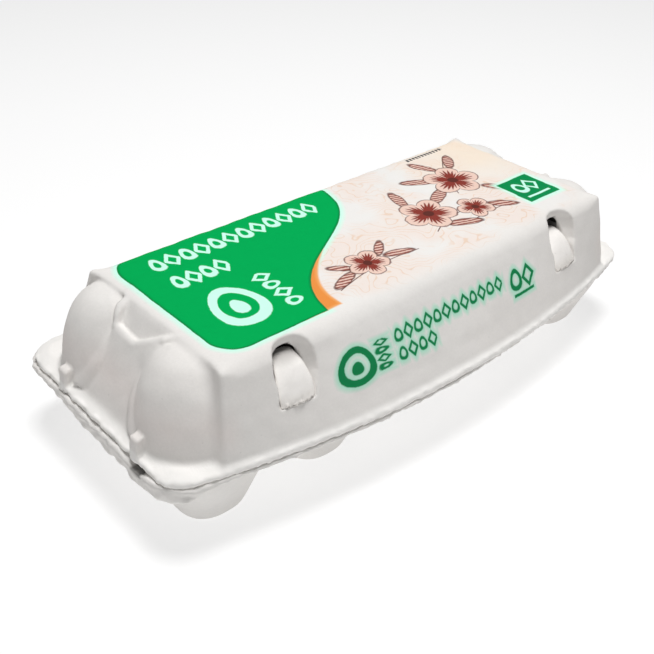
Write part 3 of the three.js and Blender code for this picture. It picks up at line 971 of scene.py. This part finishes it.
class CARTON_OT_tabs(bpy.types.Operator):
    """Makes the two locking tabs with their torn lower edges"""
    bl_idname = "carton.tabs"
    bl_label = "Locking tabs"

    def execute(self, context):
        sizes, colours = context.scene.carton_sizes, context.scene.carton_colours
        step = sizes.tab_step / MM
        # Painted light: the tabs' pulp is painted paler than the rest so that the tongues read as brightly
        # lit.
        material = tab_material("pulp_tabs", tuple(min(1.12 * c, 0.97) for c in colours.pulp))
        for side, name, seed, shape in zip((-1, 1), ("lock_tab_left", "lock_tab_right"), (41, 51),
                                           zip(TONGUE_LOW, TONGUE_HIGH, TONGUE_LEAN)):
            def field(x, y, z, side=side, shape=shape):
                return tongue_field(x, y, z, side, *shape)

            points, quads = surface_net(field, (-9.5, -54, 43.5), (8.5, -34, 62), step)
            points, out = settle(field, points, step)
            low = ramp(-points[:, 2], -shape[0] - 3, -shape[0])
            move = sizes.relief / MM * ripple(points, 5, seed) + 0.25 * low * ripple(points, 1.4, seed + 1)
            points = points + out * move[:, None]
            points[:, 2] += low * 0.7 * ripple(points * (1, 0.3, 0.1), 2.4, seed + 2)
            points[:, 0] += side * TAB_X
            piece = mesh_object("carton_" + name, points, quads)
            piece.data.materials.append(material)
            stand_for(piece, name)
        return {"FINISHED"}


CAMERA_PLACE = (-0.22881, -0.23934, 0.24244)
CAMERA_BEARING, CAMERA_RISE, CAMERA_ROLL = math.radians(-41.22), math.radians(33.99), math.radians(0.70)
CAMERA_LENS = 50.93

# Soft lights as name, power in watts, place and side in metres, all turned to LIT_POINT
LIGHTS = (("key", 7.6, (0.03, -0.02, 0.95), 0.34), ("fill", 0.6, (-0.45, -0.6, 0.5), 0.6))
LIT_POINT = (0, 0, 0.03)
WORLD_COLOUR, WORLD_STRENGTH = (1.0, 0.995, 0.99, 1), 0.09
FLOOR_HALF, FLOOR_DROP = 4.0, 0.0002
FLOOR_COLOUR, FLOOR_GLOW = (0.4, 0.4, 0.4, 1), 0.66


def make_camera():
    """The camera, turned by its bearing round Z, its rise over the floor and its roll."""
    sin, cos = math.sin, math.cos
    back = Vector((sin(CAMERA_BEARING) * cos(CAMERA_RISE), -cos(CAMERA_BEARING) * cos(CAMERA_RISE),
                   sin(CAMERA_RISE)))
    right = Vector((0, 0, 1)).cross(back).normalized()
    up = back.cross(right)
    across = cos(CAMERA_ROLL) * right + sin(CAMERA_ROLL) * up
    above = cos(CAMERA_ROLL) * up - sin(CAMERA_ROLL) * right
    data = bpy.data.cameras.new("camera")
    data.lens = CAMERA_LENS
    data.sensor_width = 36.0
    data.clip_start, data.clip_end = 0.02, 20.0
    camera = bpy.data.objects.new("camera", data)
    turn = Matrix((across, above, back)).transposed()
    camera.matrix_world = Matrix.Translation(Vector(CAMERA_PLACE)) @ turn.to_4x4()
    bpy.context.scene.collection.objects.link(camera)
    bpy.context.scene.camera = camera


def make_light(name, energy, place, side):
    """A square lamp that is turned to the carton."""
    data = bpy.data.lights.new(name, "AREA")
    data.energy = energy
    data.shape = "SQUARE"
    data.size = side
    light = bpy.data.objects.new(name, data)
    light.location = place
    light.rotation_mode = "QUATERNION"
    light.rotation_quaternion = (Vector(LIT_POINT) - Vector(place)).to_track_quat("-Z", "Y")
    bpy.context.scene.collection.objects.link(light)


def make_floor():
    """A wide pale floor that glows softly, just under the cups' feet."""
    mesh = bpy.data.meshes.new("floor")
    far = FLOOR_HALF
    mesh.from_pydata([(-far, -far, 0), (far, -far, 0), (far, far, 0), (-far, far, 0)], [], [(0, 1, 2, 3)])
    floor = bpy.data.objects.new("floor", mesh)
    floor.location.z = -FLOOR_DROP
    bpy.context.scene.collection.objects.link(floor)
    material = bpy.data.materials.new("floor")
    material.use_nodes = True
    shader = material.node_tree.nodes["Principled BSDF"]
    shader.inputs["Base Color"].default_value = FLOOR_COLOUR
    shader.inputs["Roughness"].default_value = 0.9
    shader.inputs["Emission Color"].default_value = (1, 1, 1, 1)
    shader.inputs["Emission Strength"].default_value = FLOOR_GLOW
    mesh.materials.append(material)


def make_world():
    """Faint light from all round."""
    world = bpy.data.worlds.new("studio")
    world.use_nodes = True
    background = world.node_tree.nodes["Background"]
    background.inputs["Color"].default_value = WORLD_COLOUR
    background.inputs["Strength"].default_value = WORLD_STRENGTH
    bpy.context.scene.world = world


class CARTON_OT_stage(bpy.types.Operator):
    """Makes the camera, the soft lights and the pale floor"""
    bl_idname = "carton.stage"
    bl_label = "Stage"

    def execute(self, context):
        make_camera()
        make_world()
        make_floor()
        for light in LIGHTS:
            make_light(*light)
        view = context.scene.view_settings
        view.view_transform = "Standard"
        view.look = "None"
        return {"FINISHED"}


class CARTON_PT_panel(bpy.types.Panel):
    """Sizes, colours and operators of the egg carton"""
    bl_label = "Egg Carton"
    bl_idname = "CARTON_PT_panel"
    bl_space_type = "VIEW_3D"
    bl_region_type = "UI"
    bl_category = "Egg Carton"

    def draw(self, context):
        layout = self.layout
        for group in (context.scene.carton_sizes, context.scene.carton_colours):
            for key in group.__annotations__:
                layout.prop(group, key)
        for operator in OPERATORS:
            layout.operator(operator.bl_idname)


OPERATORS = (CARTON_OT_lid, CARTON_OT_tray, CARTON_OT_hinge, CARTON_OT_tabs, CARTON_OT_stage)
CLASSES = (CartonSizes, CartonColours, *OPERATORS, CARTON_PT_panel)


def register():
    for cls in CLASSES:
        bpy.utils.register_class(cls)
    bpy.types.Scene.carton_sizes = PointerProperty(type=CartonSizes)
    bpy.types.Scene.carton_colours = PointerProperty(type=CartonColours)


def unregister():
    del bpy.types.Scene.carton_sizes
    del bpy.types.Scene.carton_colours
    for cls in reversed(CLASSES):
        bpy.utils.unregister_class(cls)


def main():
    """Makes everything in order."""
    register()
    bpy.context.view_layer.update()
    bpy.ops.carton.lid()
    bpy.ops.carton.tray()
    bpy.ops.carton.hinge()
    bpy.ops.carton.tabs()
    bpy.ops.carton.stage()


if __name__ == "__main__":
    main()
